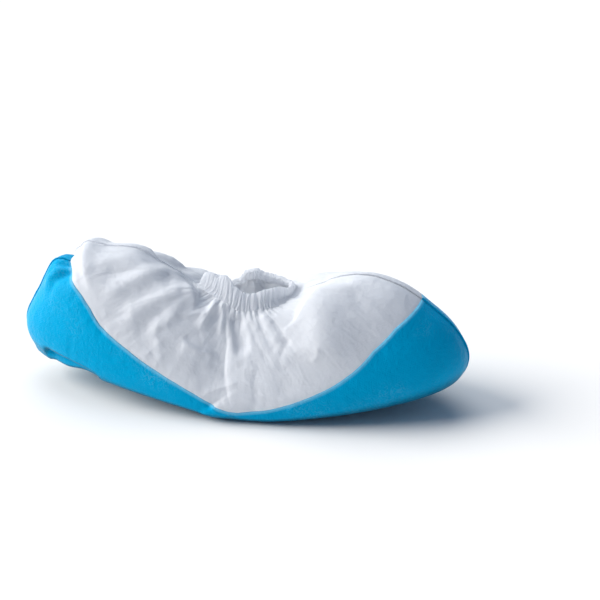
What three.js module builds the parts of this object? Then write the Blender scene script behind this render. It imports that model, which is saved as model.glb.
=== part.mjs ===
// A disposable anti-slip shoe cover, loose and open, standing on its sole.
// Millimetres, +Z up. +X is the toe, -X the heel. The origin is on the floor under the middle of the cover.
//
// Every wall follows one surface, given by a ring number and an angle. Ring 0 is the mouth edge, ring 8 the
// widest girth and ring 12 the spine of the sole. Angle 0 is the toe, 90 the far side, 180 the heel and 270
// the near side.

import * as THREE from 'three';

// Walls and gaps
const CLOTH_WALL = 1.2;
const FILM_WALL = 1.0;
const GAP = 0.3;

// The hem: a casing over a round elastic, folded to the outside of the mouth
const HEM_FOOT = 1.2; // ring where the casing ends and the single cloth begins
const HEM_GAP = 0.07; // rings left open under the casing
const STEP = { from: 0.09, to: 0.04 }; // rings above the film's edge where the cloth steps in behind it
const RUFFLE = 1.0; // how far every other column of the gathers stands out and in
const HEM_SECTION = table(['ring', 'out'], [
  [0.0, 0.6],
  [0.45, 1.9],
  [1.0, 1.7],
  [HEM_FOOT - HEM_GAP, 0.3],
  [0.9, -1.5],
  [0.1, -1.3],
]);

// The two end seams: low fins that stand on the outside of the cover, narrower at the tip
const SEAM = { width: 1.2, tip: 0.8, height: 1.8, gap: 0.4 };
const SEAM_RINGS = { top: 1.3, bottom: 8.9 }; // between which it runs

// Fineness
const COLUMNS = 88; // around the cover, a multiple of four
const CLOTH_ROWS = [0, 0.11, 0.22, 0.34, 0.47, 0.6, 0.73, 0.87, 1]; // shares of the way from hem to film
const FILM_ROWS = [0, 0.17, 0.34, 0.5, 0.64, 0.78, 1]; // shares of the way from that edge to the spine
const SMALL_RING = 0.02;
const SMALL_ANGLE = 0.6;
const FOLD_STEPS = 10; // straight steps along a fold's path

// The undeformed bag, ring by ring: reach to the toe and heel, half width, heights at the toe, the side and
// the heel, and the exponents that say how square the plan is and how late the side climbs to the ends
const RINGS = table(['toe', 'heel', 'half', 'zToe', 'zSide', 'zHeel', 'plan', 'climb'], [
  [32, 30, 19, 85, 87, 86, 2.2, 2.0], // mouth edge
  [36, 35, 25, 79, 77, 79, 2.1, 2.0],
  [53, 52, 33, 85, 67, 85, 2.0, 1.5],
  [76, 77, 40, 91, 56, 92.5, 2.0, 1.5], // tops of the toe and heel lobes
  [96, 101, 46, 88, 45, 89, 2.1, 1.6],
  [115, 118, 51, 79, 35, 84.5, 2.2, 1.8],
  [134, 141, 55, 63, 26, 69, 2.2, 2.0],
  [151, 153, 57.5, 45, 18, 45, 2.1, 2.2],
  [161, 164, 58, 24, 10, 20, 2.0, 2.3], // girth
  [157, 161, 57, 8, 4, 3, 1.9, 2.3],
  [145, 148, 50, 1, 0, 0, 1.8, 3.0], // edge of the sole
  [116, 118, 40, 0, 0, 0, 1.8, 3.0],
  [85, 85, 14, 0, 0, 0, 2.0, 3.0], // spine
]);
const SPINE = RINGS.length - 1;
const MIDDLE = -1.46; // where the middle of the finished cover's length lies on the ring table's x

// Both ends of the sole curl up from a flat middle
const CURL = {
  toe: { flat: 26, rise: 18, power: 1.15 },
  heel: { flat: 14, rise: 24, power: 0.88 },
  end: 160,
};

// How the elastic waves the mouth: a lift, and the share of the half width that it pulls in
const MOUTH_WAVE = table(['angle', 'lift', 'pull'], [
  [0, 0, 0],
  [40, -3, 0],
  [70, -4, 0],
  [88, -1, 0],
  [95, -3, 0],
  [104, -10, 0],
  [120, -14, 0],
  [140, -14, 0],
  [160, -12, 0],
  [180, -8, 0],
  [198, -2, 0.1],
  [210, 2, 0.2],
  [222, 5, 0.3],
  [240, 8.5, 0.3],
  [250, 9.5, 0.2],
  [256, 8, 0.15],
  [264, 3, 0.05],
  [272, -0.5, 0],
  [290, 1, 0],
  [315, 1, 0],
  [360, 0, 0],
]);
const WAVE_RINGS = 3.5; // the wave dies away over this many rings
const WAVE_POWER = 1.5;

// Upper edge of the film on the near side; the far side is its mirror image
const FILM_EDGE = table(['angle', 'ring'], [
  [180, 5.6],
  [190, 5.58],
  [196, 5.6],
  [204, 5.66],
  [214, 5.65],
  [221, 5.74],
  [228, 5.95],
  [240, 6.1],
  [250, 6.38],
  [256, 6.68],
  [261, 7.05],
  [266, 7.55],
  [269.5, 7.95],
  [272, 8.05],
  [277, 7.75],
  [285, 7.25],
  [293, 6.8],
  [304, 6.3],
  [317, 5.8],
  [331, 5.6],
  [360, 5.6],
]);

// Folds: a path over the surface through three places (angle, ring); how far it stands out (+) or in (-);
// its half width on the side of the smaller angles, or below a path that runs around, and on the other side;
// and its edge, where 1 is a sharp crease and 2 a soft roll
const FOLDS = table(['a0', 'r0', 'a1', 'r1', 'a2', 'r2', 'height', 'before', 'after', 'edge'], [
  // near side: the waist between the two lobes, where the cloth turns in and folds over itself
  [258.5, 1.4, 266.2, 3.2, 268.6, 7.4, -1.5, 19, 4, 2],
  [267.5, 1.4, 271.8, 2.6, 273.4, 4.0, -3.6, 3.6, 6, 3],
  [250, 4.2, 257, 4.15, 265, 3.9, 1.6, 7, 1.8, 1.6],
  // near side: the toe lobe
  [330, 2.0, 312, 3.7, 297, 5.6, 6.0, 16, 20, 2],
  // near side: the heel lobe, whose folds run from the mouth down towards the heel
  [190, 2.2, 207.5, 3.4, 213, 5.0, -1.8, 8, 6, 1.8],
  [205, 2.2, 215, 3.6, 218, 5.2, 1.8, 7, 6, 1.8],
  [222, 1.5, 229.5, 3.4, 231, 5.6, 2.4, 8, 7, 1.9],
  [230, 2.0, 236, 3.7, 238.5, 5.6, -1.9, 8, 7, 1.9],
  [229, 1.6, 237, 3.3, 244, 4.8, 2.2, 9, 6, 1.8],
  [233, 2.0, 239, 1.7, 246, 1.6, -3.0, 7, 7, 2],
  [196, 1.5, 200, 3.3, 200, 5.0, 1.6, 7, 7, 2],
  // the waist's lowest point, where the film stands out at the foot of the crease
  [265, 7.6, 267, 8.5, 268, 9.5, 2.2, 24, 12, 1.3],
  // heel: the cloth puffs out over the edge of the film, which is tucked in below it
  [152, 4.9, 186, 4.95, 220, 5.35, 3.0, 3.5, 7, 2],
  [148, 5.5, 180, 5.5, 210, 5.75, -9.0, 8, 3.2, 2],
  [206, 8.88, 217, 8.9, 232, 9.0, -12.0, 5.5, 3.6, 2],
  [188, 9.4, 204, 9.6, 222, 9.65, 3.6, 6, 3, 2],
  // far side
  [95, 7.6, 93, 8.5, 92, 9.5, 2.2, 12, 24, 1.3],
  [104, 1.6, 99, 4.5, 95, 7.6, -6.0, 4, 18, 1.8],
  [93, 1.3, 92, 4.2, 91, 8.0, 3.6, 5, 3, 1.4],
  [84, 1.4, 83, 3.0, 82, 5.2, -3.0, 5, 4, 1.8],
  [73, 1.4, 75, 3.2, 77, 5.4, 2.4, 5, 3, 1.6],
  [62, 1.5, 65, 3.0, 69, 4.8, -2.4, 3, 5, 1.6],
  [50, 1.4, 54, 2.8, 58, 4.4, 2.2, 6, 4, 1.6],
  [36, 1.3, 46, 3.8, 64, 6.4, 2.8, 12, 12, 2],
  [24, 1.2, 18, 2.4, 14, 3.8, -1.8, 6, 6, 2],
  [116, 1.6, 122, 3.6, 129, 5.6, 2.6, 7, 5, 1.8],
  [127, 1.6, 132, 3.5, 137, 5.3, -2.6, 7, 5, 1.8],
  [153, 1.6, 155, 3.4, 154, 5.0, -3.0, 9, 9, 2],
  [163, 3.0, 147, 2.5, 128, 2.2, -4.0, 11, 11, 2],
]);
const FOLD_ENDS = { start: 0.16, finish: 0.28 }; // shares of a fold's path over which it comes up and dies away
const FOLD_REACH = 2.4; // widths from its path at which a fold is left out
const REST = { from: 1, to: 10 }; // heights between which the folds come up, so that the sole stays flat

// Finishes
const WHITE_CLOTH = new THREE.MeshStandardMaterial({ color: 0xeef1f5, roughness: 0.9, metalness: 0 });
const BLUE_FILM = new THREE.MeshStandardMaterial({ color: 0x00a4e0, roughness: 0.45, metalness: 0 });
const WHITE_HEM = new THREE.MeshStandardMaterial({ color: 0xe6e9ee, roughness: 0.9, metalness: 0 });
const SEAM_EDGE = new THREE.MeshStandardMaterial({ color: 0xdfe8ef, roughness: 0.8, metalness: 0 });

// A table of named columns as a list of rows
function table(columns, rows) {
  return rows.map((row) => Object.fromEntries(columns.map((name, i) => [name, row[i]])));
}

function smoothstep(from, to, value) {
  const t = THREE.MathUtils.clamp((value - from) / (to - from), 0, 1);
  return t * t * (3 - 2 * t);
}

// A column of the ring table at any ring number, on a curve through its rows
function ringValue(name, ring) {
  const at = THREE.MathUtils.clamp(ring, 0, SPINE);
  const i = Math.min(Math.floor(at), SPINE - 1);
  const f = at - i;
  const b = RINGS[i][name];
  const c = RINGS[i + 1][name];
  const a = i > 0 ? RINGS[i - 1][name] : 2 * b - c;
  const d = i < SPINE - 1 ? RINGS[i + 2][name] : 2 * c - b;
  return 0.5 * (2 * b + (c - a) * f + (2 * a - 5 * b + 4 * c - d) * f * f + (3 * b - a - 3 * c + d) * f ** 3);
}

// A column of a table by angle, easing from row to row
function angleValue(rows, name, angle, ease) {
  const i = Math.max(rows.findLastIndex((row) => row.angle <= angle), 0);
  const low = rows[i];
  const high = rows[Math.min(i + 1, rows.length - 1)];
  if (high === low) return low[name];
  const t = (angle - low.angle) / (high.angle - low.angle);
  return THREE.MathUtils.lerp(low[name], high[name], ease(t));
}

function turn(angle) {
  return ((angle % 360) + 360) % 360;
}

function filmEdge(angle) {
  const a = turn(angle);
  return angleValue(FILM_EDGE, 'ring', a < 180 ? 360 - a : a, (t) => t);
}

// How far the curl lifts the cover at this distance along it
function curl(x) {
  const side = x > 0 ? CURL.toe : CURL.heel;
  const along = Math.max((Math.abs(x) - side.flat) / (CURL.end - side.flat), 0);
  return side.rise * along ** side.power;
}

// The surface without its folds
function plainPoint(ring, angle) {
  const a = THREE.MathUtils.degToRad(angle);
  const c = Math.cos(a);
  const s = Math.sin(a);
  const plan = 2 / ringValue('plan', ring);
  const x = ringValue(c > 0 ? 'toe' : 'heel', ring) * Math.sign(c) * Math.abs(c) ** plan;
  const y = ringValue('half', ring) * Math.sign(s) * Math.abs(s) ** plan;
  const side = ringValue('zSide', ring);
  const end = ringValue(c > 0 ? 'zToe' : 'zHeel', ring);
  const z = side + (end - side) * Math.abs(c) ** ringValue('climb', ring) + curl(x);
  const share = Math.max(1 - ring / WAVE_RINGS, 0) ** WAVE_POWER;
  const ease = (t) => smoothstep(0, 1, t);
  const pull = angleValue(MOUTH_WAVE, 'pull', turn(angle), ease) * share;
  const lift = angleValue(MOUTH_WAVE, 'lift', turn(angle), ease) * share;
  return new THREE.Vector3(x - MIDDLE, y * (1 - pull), Math.max(z, 0) + lift);
}

// The direction that points out of the cover
function outward(ring, angle) {
  const down = plainPoint(ring + SMALL_RING, angle).sub(plainPoint(ring - SMALL_RING, angle));
  const round = plainPoint(ring, angle + SMALL_ANGLE).sub(plainPoint(ring, angle - SMALL_ANGLE));
  return down.cross(round).normalize();
}

// A fold with the points of its path laid on the surface
function foldPath(fold) {
  const points = [];
  for (let i = 0; i <= FOLD_STEPS; i++) {
    const t = (2 * i) / FOLD_STEPS;
    const [from, to] = t < 1 ? [0, 1] : [1, 2];
    const angle = THREE.MathUtils.lerp(fold[`a${from}`], fold[`a${to}`], t - from);
    const ring = THREE.MathUtils.lerp(fold[`r${from}`], fold[`r${to}`], t - from);
    points.push(plainPoint(ring, angle));
  }
  return { ...fold, points };
}

const FOLD_PATHS = FOLDS.map(foldPath);

// How far one fold moves a point of the surface, whose outward direction is given
function foldHeight(fold, point, out) {
  const onPath = new THREE.Vector3();
  let distance = Infinity;
  let along = 0;
  let side = 0;
  for (let i = 0; i < FOLD_STEPS; i++) {
    const step = new THREE.Line3(fold.points[i], fold.points[i + 1]);
    const t = step.closestPointToPointParameter(point, true);
    const d = step.at(t, onPath).distanceTo(point);
    if (d < distance) {
      distance = d;
      along = (i + t) / FOLD_STEPS;
      side = point.clone().sub(onPath).dot(step.delta(new THREE.Vector3()).cross(out));
    }
  }
  const width = side > 0 ? fold.before : fold.after;
  if (distance > FOLD_REACH * width) return 0;
  const ends = smoothstep(0, FOLD_ENDS.start, along) * smoothstep(0, FOLD_ENDS.finish, 1 - along);
  return fold.height * ends * Math.exp(-((distance / width) ** fold.edge));
}

// A point of the surface with its folds, moved out by the given distance
function surfacePoint(ring, angle, out = 0) {
  const point = plainPoint(ring, angle);
  const normal = outward(ring, angle);
  const rest = smoothstep(REST.from, REST.to, point.z);
  const folds = rest > 0 ? FOLD_PATHS.reduce((sum, fold) => sum + foldHeight(fold, point, normal), 0) : 0;
  return point.addScaledVector(normal, rest * folds + out);
}

// The angles of the columns, evenly spaced along the middle ring, the same on both sides
function columnAngles() {
  const middle = 5;
  const half = COLUMNS / 2;
  const steps = 720;
  const lengths = [0];
  for (let i = 1; i <= steps; i++) {
    const from = plainPoint(middle, (180 * (i - 1)) / steps);
    lengths.push(lengths[i - 1] + plainPoint(middle, (180 * i) / steps).distanceTo(from));
  }
  const angles = [];
  for (let j = 0; j <= half; j++) {
    const wanted = (lengths[steps] * j) / half;
    const i = Math.max(lengths.findIndex((length) => length >= wanted), 1);
    const share = (wanted - lengths[i - 1]) / (lengths[i] - lengths[i - 1]);
    angles.push((180 * (i - 1 + share)) / steps);
  }
  for (let j = half - 1; j > 0; j--) angles.push(360 - angles[j]);
  return angles;
}

const ANGLES = columnAngles();

// The gathers: every other column stands out, most at the hem and gone a few rings below it
function gather(ring, column) {
  const share = 1 - smoothstep(HEM_FOOT, 3, ring);
  return RUFFLE * share * (column % 2 ? -1 : 1);
}

// A loop of points around the cover; place gives the ring and the distance out for each column
function loop(place) {
  return ANGLES.map((angle, j) => {
    const { ring, out } = place(angle, j);
    return surfacePoint(ring, angle, out + gather(ring, j));
  });
}

// A closed body from loops of points and triangles between them
class Body {
  constructor(loops) {
    this.size = loops[0].length;
    this.points = loops.flat();
    this.faces = [];
  }

  id(row, column) {
    return row * this.size + (column % this.size);
  }

  add(faces, turned) {
    this.faces.push(...(turned ? faces.map((face) => face.reverse()) : faces));
  }

  // the band between an upper loop and a lower one, facing out of the cover unless turned
  band(upper, lower, turned = false) {
    for (let j = 0; j < this.size; j++) {
      const [a, b] = [this.id(upper, j), this.id(upper, j + 1)];
      const [d, c] = [this.id(lower, j), this.id(lower, j + 1)];
      this.add([[a, d, c], [a, c, b]], turned);
    }
  }

  // the flat floor inside a loop, in strips across it, facing down unless turned
  floor(row, turned = false) {
    const half = this.size / 2;
    for (let j = 0; j < half; j++) {
      const [p, q] = [this.id(row, j), this.id(row, this.size - j)];
      const [pNext, qNext] = [this.id(row, j + 1), this.id(row, this.size - j - 1)];
      const strips = [];
      if (j > 0) strips.push([p, q, qNext]);
      if (j < half - 1) strips.push([p, qNext, pNext]);
      this.add(strips, turned);
    }
  }

  geometry() {
    const geometry = new THREE.BufferGeometry();
    geometry.setAttribute('position', new THREE.Float32BufferAttribute(this.points.flatMap((p) => p.toArray()), 3));
    geometry.setIndex(this.faces.flat());
    geometry.computeVertexNormals();
    return geometry;
  }
}

// A bag: an outer and an inner skin joined at the top edge, each closed at the sole
function bag(outer, inner) {
  const body = new Body([...outer, ...inner]);
  const rows = outer.length;
  for (let i = 0; i < rows - 1; i++) {
    body.band(i, i + 1);
    body.band(rows + i, rows + i + 1, true);
  }
  body.band(rows, 0);
  body.floor(rows - 1);
  body.floor(2 * rows - 1, true);
  return body.geometry();
}

// A ring whose section is a closed loop
function closedRing(loops) {
  const body = new Body(loops);
  loops.forEach((_, i) => body.band(i, (i + 1) % loops.length));
  return body.geometry();
}

// The rings of one column: of the open cloth, and of the film and the cloth behind it
function clothRings(angle) {
  return CLOTH_ROWS.map((share) => THREE.MathUtils.lerp(HEM_FOOT, filmEdge(angle) - STEP.from, share));
}

function filmRings(angle) {
  return FILM_ROWS.map((share) => THREE.MathUtils.lerp(filmEdge(angle), SPINE, share));
}

// The white bag: the whole inside of the cover, set back behind the film where the film covers it
function upperCloth() {
  const setBack = -(FILM_WALL + GAP);
  const skin = (out) => [
    ...CLOTH_ROWS.map((_, i) => loop((angle) => ({ ring: clothRings(angle)[i], out }))),
    loop((angle) => ({ ring: filmEdge(angle) - STEP.to, out: out + setBack })),
    ...FILM_ROWS.map((_, i) => loop((angle) => ({ ring: filmRings(angle)[i], out: out + setBack }))),
  ];
  return bag(skin(0), skin(-CLOTH_WALL));
}

// The blue film: bonded over the lower part of the bag, low at the sides and high at the toe and heel
function soleFilm() {
  const skin = (out) => FILM_ROWS.map((_, i) => loop((angle) => ({ ring: filmRings(angle)[i], out })));
  return bag(skin(0), skin(-FILM_WALL));
}

function elasticHem() {
  return closedRing(HEM_SECTION.map((corner) => loop(() => ({ ring: corner.ring, out: corner.out }))));
}

// A fin along one end of the cover, from under the hem to the curl of the sole
function endSeam(angle) {
  const { top, bottom } = SEAM_RINGS;
  const rings = [...clothRings(angle), ...filmRings(angle)].filter((ring) => ring > top && ring < bottom);
  const aside = (point, y) => point.clone().add(new THREE.Vector3(0, y, 0));
  const sections = rings.map((ring) => {
    const foot = surfacePoint(ring, angle, SEAM.gap + gather(ring, 0));
    const tip = surfacePoint(ring, angle, SEAM.gap + SEAM.height);
    return [
      aside(foot, -SEAM.width / 2), aside(tip, -SEAM.tip / 2), aside(tip, SEAM.tip / 2), aside(foot, SEAM.width / 2),
    ];
  });
  const body = new Body(sections);
  const last = rings.length - 1;
  for (let i = 0; i < last; i++) body.band(i, i + 1);
  body.faces.push(
    [body.id(0, 0), body.id(0, 1), body.id(0, 2)], [body.id(0, 0), body.id(0, 2), body.id(0, 3)],
    [body.id(last, 2), body.id(last, 1), body.id(last, 0)], [body.id(last, 3), body.id(last, 2), body.id(last, 0)],
  );
  if (angle === 180) body.faces.forEach((face) => face.reverse());
  return body.geometry();
}

function named(name, geometry, material) {
  const mesh = new THREE.Mesh(geometry, material);
  mesh.name = name;
  return mesh;
}

const shoeCover = new THREE.Group();
shoeCover.add(
  named('upper_cloth', upperCloth(), WHITE_CLOTH),
  named('sole_film', soleFilm(), BLUE_FILM),
  named('elastic_hem', elasticHem(), WHITE_HEM),
  named('toe_seam', endSeam(0), SEAM_EDGE),
  named('heel_seam', endSeam(180), SEAM_EDGE),
);

export default shoeCover;
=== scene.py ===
"""A disposable anti-slip shoe cover: white non-woven bag, blue film sole, gathered hem and two end seams.

Laid out as an add-on and run as a script. Every sheet follows one surface, given by a ring number
and an angle: ring 0 is the mouth edge, ring 8 the widest girth and ring 12 the spine of the sole; angle 0
is the toe, 90 the far side, 180 the heel and 270 the near side. The tables are in millimetres and degrees,
the objects in metres.
"""

import functools
import math
from collections import namedtuple

import bpy
import numpy as np
from bpy.props import FloatProperty, FloatVectorProperty, IntProperty, PointerProperty
from bpy.types import Operator, Panel, PropertyGroup
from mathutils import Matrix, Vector


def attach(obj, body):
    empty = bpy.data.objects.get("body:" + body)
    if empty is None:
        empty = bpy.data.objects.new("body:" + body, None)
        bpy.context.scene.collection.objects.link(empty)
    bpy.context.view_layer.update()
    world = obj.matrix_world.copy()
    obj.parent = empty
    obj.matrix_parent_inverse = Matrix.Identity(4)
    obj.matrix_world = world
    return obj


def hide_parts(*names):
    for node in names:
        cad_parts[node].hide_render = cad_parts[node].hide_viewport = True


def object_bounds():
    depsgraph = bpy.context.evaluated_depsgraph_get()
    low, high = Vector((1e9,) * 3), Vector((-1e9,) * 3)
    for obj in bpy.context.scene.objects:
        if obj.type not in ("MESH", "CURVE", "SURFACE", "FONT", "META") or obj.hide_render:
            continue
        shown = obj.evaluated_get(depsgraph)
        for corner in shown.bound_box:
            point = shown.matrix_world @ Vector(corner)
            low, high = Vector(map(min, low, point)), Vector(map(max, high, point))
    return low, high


bl_info = {
    "name": "Anti-slip shoe cover",
    "version": (1, 0, 0),
    "blender": (4, 5, 0),
    "location": "View3D > Sidebar > Shoe cover",
    "description": "Builds a disposable shoe cover with a gathered mouth and a film sole",
    "category": "Add Mesh",
}

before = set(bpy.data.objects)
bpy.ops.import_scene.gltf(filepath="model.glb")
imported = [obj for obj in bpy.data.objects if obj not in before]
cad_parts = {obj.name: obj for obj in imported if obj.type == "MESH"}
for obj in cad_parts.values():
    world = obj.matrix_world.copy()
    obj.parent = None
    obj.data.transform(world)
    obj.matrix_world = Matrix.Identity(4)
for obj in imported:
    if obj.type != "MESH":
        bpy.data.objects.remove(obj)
CAD_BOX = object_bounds()

MM = 0.001
SEED = 12
TINY = 1e-9  # keeps a length that is divided by off zero

# -------------------------------------------------------------------------------------------------
# The form of the bag
# -------------------------------------------------------------------------------------------------


def table(columns, rows):
    """Rows of numbers as a dict of named columns."""
    return {name: np.array([row[i] for row in rows], float) for i, name in enumerate(columns)}


# The undeformed bag, ring by ring: reach to the toe and heel, half width, heights at the toe, the side and
# the heel, and the exponents that say how square the plan is and how late the side climbs to the ends
RINGS = table(
    ("toe", "heel", "half", "z_toe", "z_side", "z_heel", "plan", "climb"),
    (
        (32, 30, 19, 85, 87, 86, 2.2, 2.0),  # mouth edge
        (36, 35, 25, 79, 77, 79, 2.1, 2.0),
        (53, 52, 33, 85, 67, 85, 2.0, 1.5),
        (76, 77, 40, 91, 56, 92.5, 2.0, 1.5),  # tops of the toe and heel lobes
        (96, 101, 46, 88, 45, 89, 2.1, 1.6),
        (115, 118, 51, 79, 35, 84.5, 2.2, 1.8),
        (134, 141, 55, 63, 26, 69, 2.2, 2.0),
        (151, 153, 57.5, 45, 18, 45, 2.1, 2.2),
        (161, 164, 58, 24, 10, 20, 2.0, 2.3),  # girth
        (157, 161, 57, 8, 4, 3, 1.9, 2.3),
        (145, 148, 50, 1, 0, 0, 1.8, 3.0),  # edge of the sole
        (116, 118, 40, 0, 0, 0, 1.8, 3.0),
        (85, 85, 14, 0, 0, 0, 2.0, 3.0),  # spine
    ),
)
SPINE = 12
SOLE_EDGE = 10
SIDE_ROWS = 0.78  # share of the film's mesh rows that lie between its upper edge and the edge of the sole
MIDDLE = -1.46  # where the middle of the finished cover's length lies on the ring table's x

# Both ends of the sole curl up from a flat middle
CURL = {
    "toe": {"flat": 26, "rise": 18, "power": 1.15},
    "heel": {"flat": 14, "rise": 24, "power": 0.88},
    "end": 160,
}

# How the elastic waves the mouth: a lift, and the share of the half width that it pulls in
MOUTH_WAVE = table(
    ("angle", "lift", "pull"),
    (
        (0, 0, 0),
        (40, -3, 0),
        (70, -4, 0),
        (88, -1, 0),
        (95, -3, 0),
        (104, -10, 0),
        (120, -14, 0),
        (140, -14, 0),
        (160, -12, 0),
        (180, -8, 0),
        (198, -2, 0.1),
        (210, 2, 0.2),
        (222, 5, 0.3),
        (240, 8.5, 0.3),
        (250, 9.5, 0.2),
        (256, 8, 0.15),
        (264, 3, 0.05),
        (272, -0.5, 0),
        (290, 1, 0),
        (315, 1, 0),
        (360, 0, 0),
    ),
)

# Where the hem's edge rises or dips by itself, and over what half width in degrees
HEM_PUFFS = table(
    ("angle", "lift", "width"),
    (
        (212, 2.8, 12),
        (237, -2.2, 7),
        (252, -0.6, 9),
        (282, -2.2, 10),
        (318, 2.0, 18),
    ),
)
WAVE_RINGS = 3.5  # the wave dies away over this many rings
WAVE_POWER = 1.5

# Upper edge of the film on the near side; the far side is its mirror image
FILM_EDGE = table(
    ("angle", "ring"),
    (
        (180, 5.6),
        (190, 5.58),
        (196, 5.6),
        (204, 5.66),
        (214, 5.65),
        (221, 5.74),
        (228, 5.95),
        (240, 6.1),
        (250, 6.38),
        (256, 6.68),
        (261, 7.05),
        (266, 7.55),
        (269.5, 7.95),
        (272, 8.05),
        (277, 7.75),
        (285, 7.25),
        (293, 6.8),
        (304, 6.3),
        (317, 5.8),
        (331, 5.6),
        (360, 5.6),
    ),
)

# Folds: a path over the surface through three places (angle, ring); how far it stands out (+) or in (-);
# its half width on the side of the smaller angles, or below a path that runs around, and on the other side;
# and its edge, where 1 is a sharp crease and 2 a soft roll
Fold = namedtuple("Fold", "a0 r0 a1 r1 a2 r2 height before after edge")
FOLDS = [
    Fold(*row)
    for row in (
        # near side: the waist between the two lobes, where the cloth turns in and folds over itself
        (258.5, 1.4, 266.2, 3.2, 268.8, 6.0, -1.2, 18, 0.9, 1.7),
        (265.6, 3.0, 268.6, 5.2, 270.4, 7.9, -0.6, 10, 0.9, 1.7),
        (258.5, 1.4, 266.2, 3.2, 270.2, 7.4, -1.5, 19, 4, 2),
        (267.9, 1.4, 272.2, 2.6, 273.8, 4.0, -3.4, 4.6, 6, 3),
        (279.6, 1.6, 281.9, 3.4, 284, 4.6, -0.7, 1.8, 2.0, 1.5),
        (287, 1.4, 287.5, 2.4, 288, 3.4, -0.8, 3.5, 2.2, 2),
        (291.5, 1.6, 291.5, 2.8, 290, 3.8, 0.5, 2.5, 4, 1.8),
        (299, 1.5, 294.8, 3.0, 294, 4.3, -0.9, 2.2, 2.0, 1.5),
        (277.6, 4.5, 276.9, 5.5, 276.6, 6.5, -0.9, 5, 1.2, 1.6),
        (288, 4.6, 286.5, 5.6, 284, 6.8, -0.7, 8, 6, 1.8),
        (250, 4.2, 257, 4.15, 265, 3.9, 1.6, 7, 1.8, 1.6),
        # near side: the toe lobe
        (330, 2.0, 312, 3.7, 297, 5.6, 6.0, 16, 20, 2),
        (303, 4.5, 300, 4.95, 297, 4.9, 0.9, 1.5, 1.8, 1.5),
        (324, 1.2, 335, 2.4, 342, 3.8, 1.2, 5, 5, 1.8),
        (334, 1.2, 343, 2.3, 350, 3.4, -1.4, 5, 5, 1.8),
        # near side: the heel lobe, whose folds run from the mouth down towards the heel
        (190, 2.2, 207.5, 3.4, 213, 5.0, -1.8, 8, 6, 1.8),
        (205, 2.2, 215, 3.6, 218, 5.2, 1.8, 7, 6, 1.8),
        (217, 2.2, 225, 3.85, 226, 5.6, -1.4, 7, 6, 2),
        (222, 1.5, 229.5, 3.4, 231, 5.6, 2.4, 8, 7, 1.9),
        (230, 2.0, 236, 3.7, 238.5, 5.6, -1.9, 8, 7, 1.9),
        (229, 1.6, 237, 3.3, 244, 4.8, 2.2, 9, 6, 1.8),
        (249, 2.4, 245, 2.6, 242.5, 3.3, 1.3, 2, 2, 1.5),
        (233, 2.0, 239, 1.7, 246, 1.6, -3.0, 7, 7, 2),
        (246, 1.3, 249.5, 2.3, 252, 3.3, 2.8, 3, 3, 1.5),
        (253, 1.3, 258, 1.9, 261.5, 2.9, 2.4, 2.5, 3, 1.5),
        (196, 1.5, 200, 3.3, 200, 5.0, 1.6, 7, 7, 2),
        # the waist's lowest point, where the film stands out at the foot of the crease
        (265, 7.6, 267, 8.5, 268, 9.5, 2.2, 24, 12, 1.3),
        # heel: the cloth puffs out over the edge of the film, which is tucked in below it
        (152, 4.9, 186, 4.95, 220, 5.35, 3.0, 3.5, 7, 2),
        (148, 5.5, 180, 5.5, 210, 5.75, -9.0, 8, 3.2, 2),
        (185, 5.2, 186.5, 5.8, 188, 6.8, -1.8, 3, 3, 1.6),
        (191, 5.3, 192.5, 5.8, 194, 6.8, 1.8, 3, 3, 1.6),
        (197, 5.5, 199, 6.0, 200, 6.9, -1.4, 3, 3, 1.6),
        (206, 8.88, 217, 8.9, 232, 9.0, -12.0, 5.5, 3.6, 2),
        (188, 9.4, 204, 9.6, 222, 9.65, 3.6, 6, 3, 2),
        # far side
        (95, 7.6, 93, 8.5, 92, 9.5, 2.2, 12, 24, 1.3),
        (104, 1.6, 99, 4.5, 95, 7.6, -6.0, 4, 18, 1.8),
        (93, 1.3, 92, 4.2, 91, 8.0, 3.6, 5, 3, 1.4),
        (84, 1.4, 83, 3.0, 82, 5.2, -3.0, 5, 4, 1.8),
        (73, 1.4, 75, 3.2, 77, 5.4, 2.4, 5, 3, 1.6),
        (62, 1.5, 65, 3.0, 69, 4.8, -2.4, 3, 5, 1.6),
        (50, 1.4, 54, 2.8, 58, 4.4, 2.2, 6, 4, 1.6),
        (36, 1.3, 46, 3.8, 64, 6.4, 2.8, 12, 12, 2),
        (24, 1.2, 18, 2.4, 14, 3.8, -1.8, 6, 6, 2),
        (116, 1.6, 122, 3.6, 129, 5.6, 2.6, 7, 5, 1.8),
        (127, 1.6, 132, 3.5, 137, 5.3, -2.6, 7, 5, 1.8),
        (139, 1.6, 143, 3.4, 146, 5.1, 1.0, 5, 7, 1.8),
        (153, 1.6, 155, 3.4, 154, 5.0, -3.0, 9, 9, 2),
        (163, 3.0, 147, 2.5, 128, 2.2, -4.0, 11, 11, 2),
    )
]
FOLD_STEPS = 10  # straight steps along a fold's path
FOLD_ENDS = (0.16, 0.28)  # shares of a fold's path over which it comes up and dies away
FOLD_REACH = 2.4  # widths from its path at which a fold is left out
REST = (1.0, 10.0)  # heights between which the folds come up, so that the sole stays flat

# Small chance wrinkles, with angles in degrees, lengths in rings and widths in millimetres. Pairs are the
# least and the most; heights are shares of the largest, and the toe lobe is smoother than the rest.
WRINKLE = {
    "first_ring": 1.2,
    "above_film": 0.6,
    "past_film_edge": 0.6,
    "length": (0.5, 2.4),
    "drift": 5,
    "bend": 2.5,
    "height": (0.25, 1.0),
    "width": (1.6, 4.0),
    "other_side": (0.6, 1.6),
    "edge": (1.2, 2.0),
    "toe_lobe": 62,
    "toe_share": 0.4,
}

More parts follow.
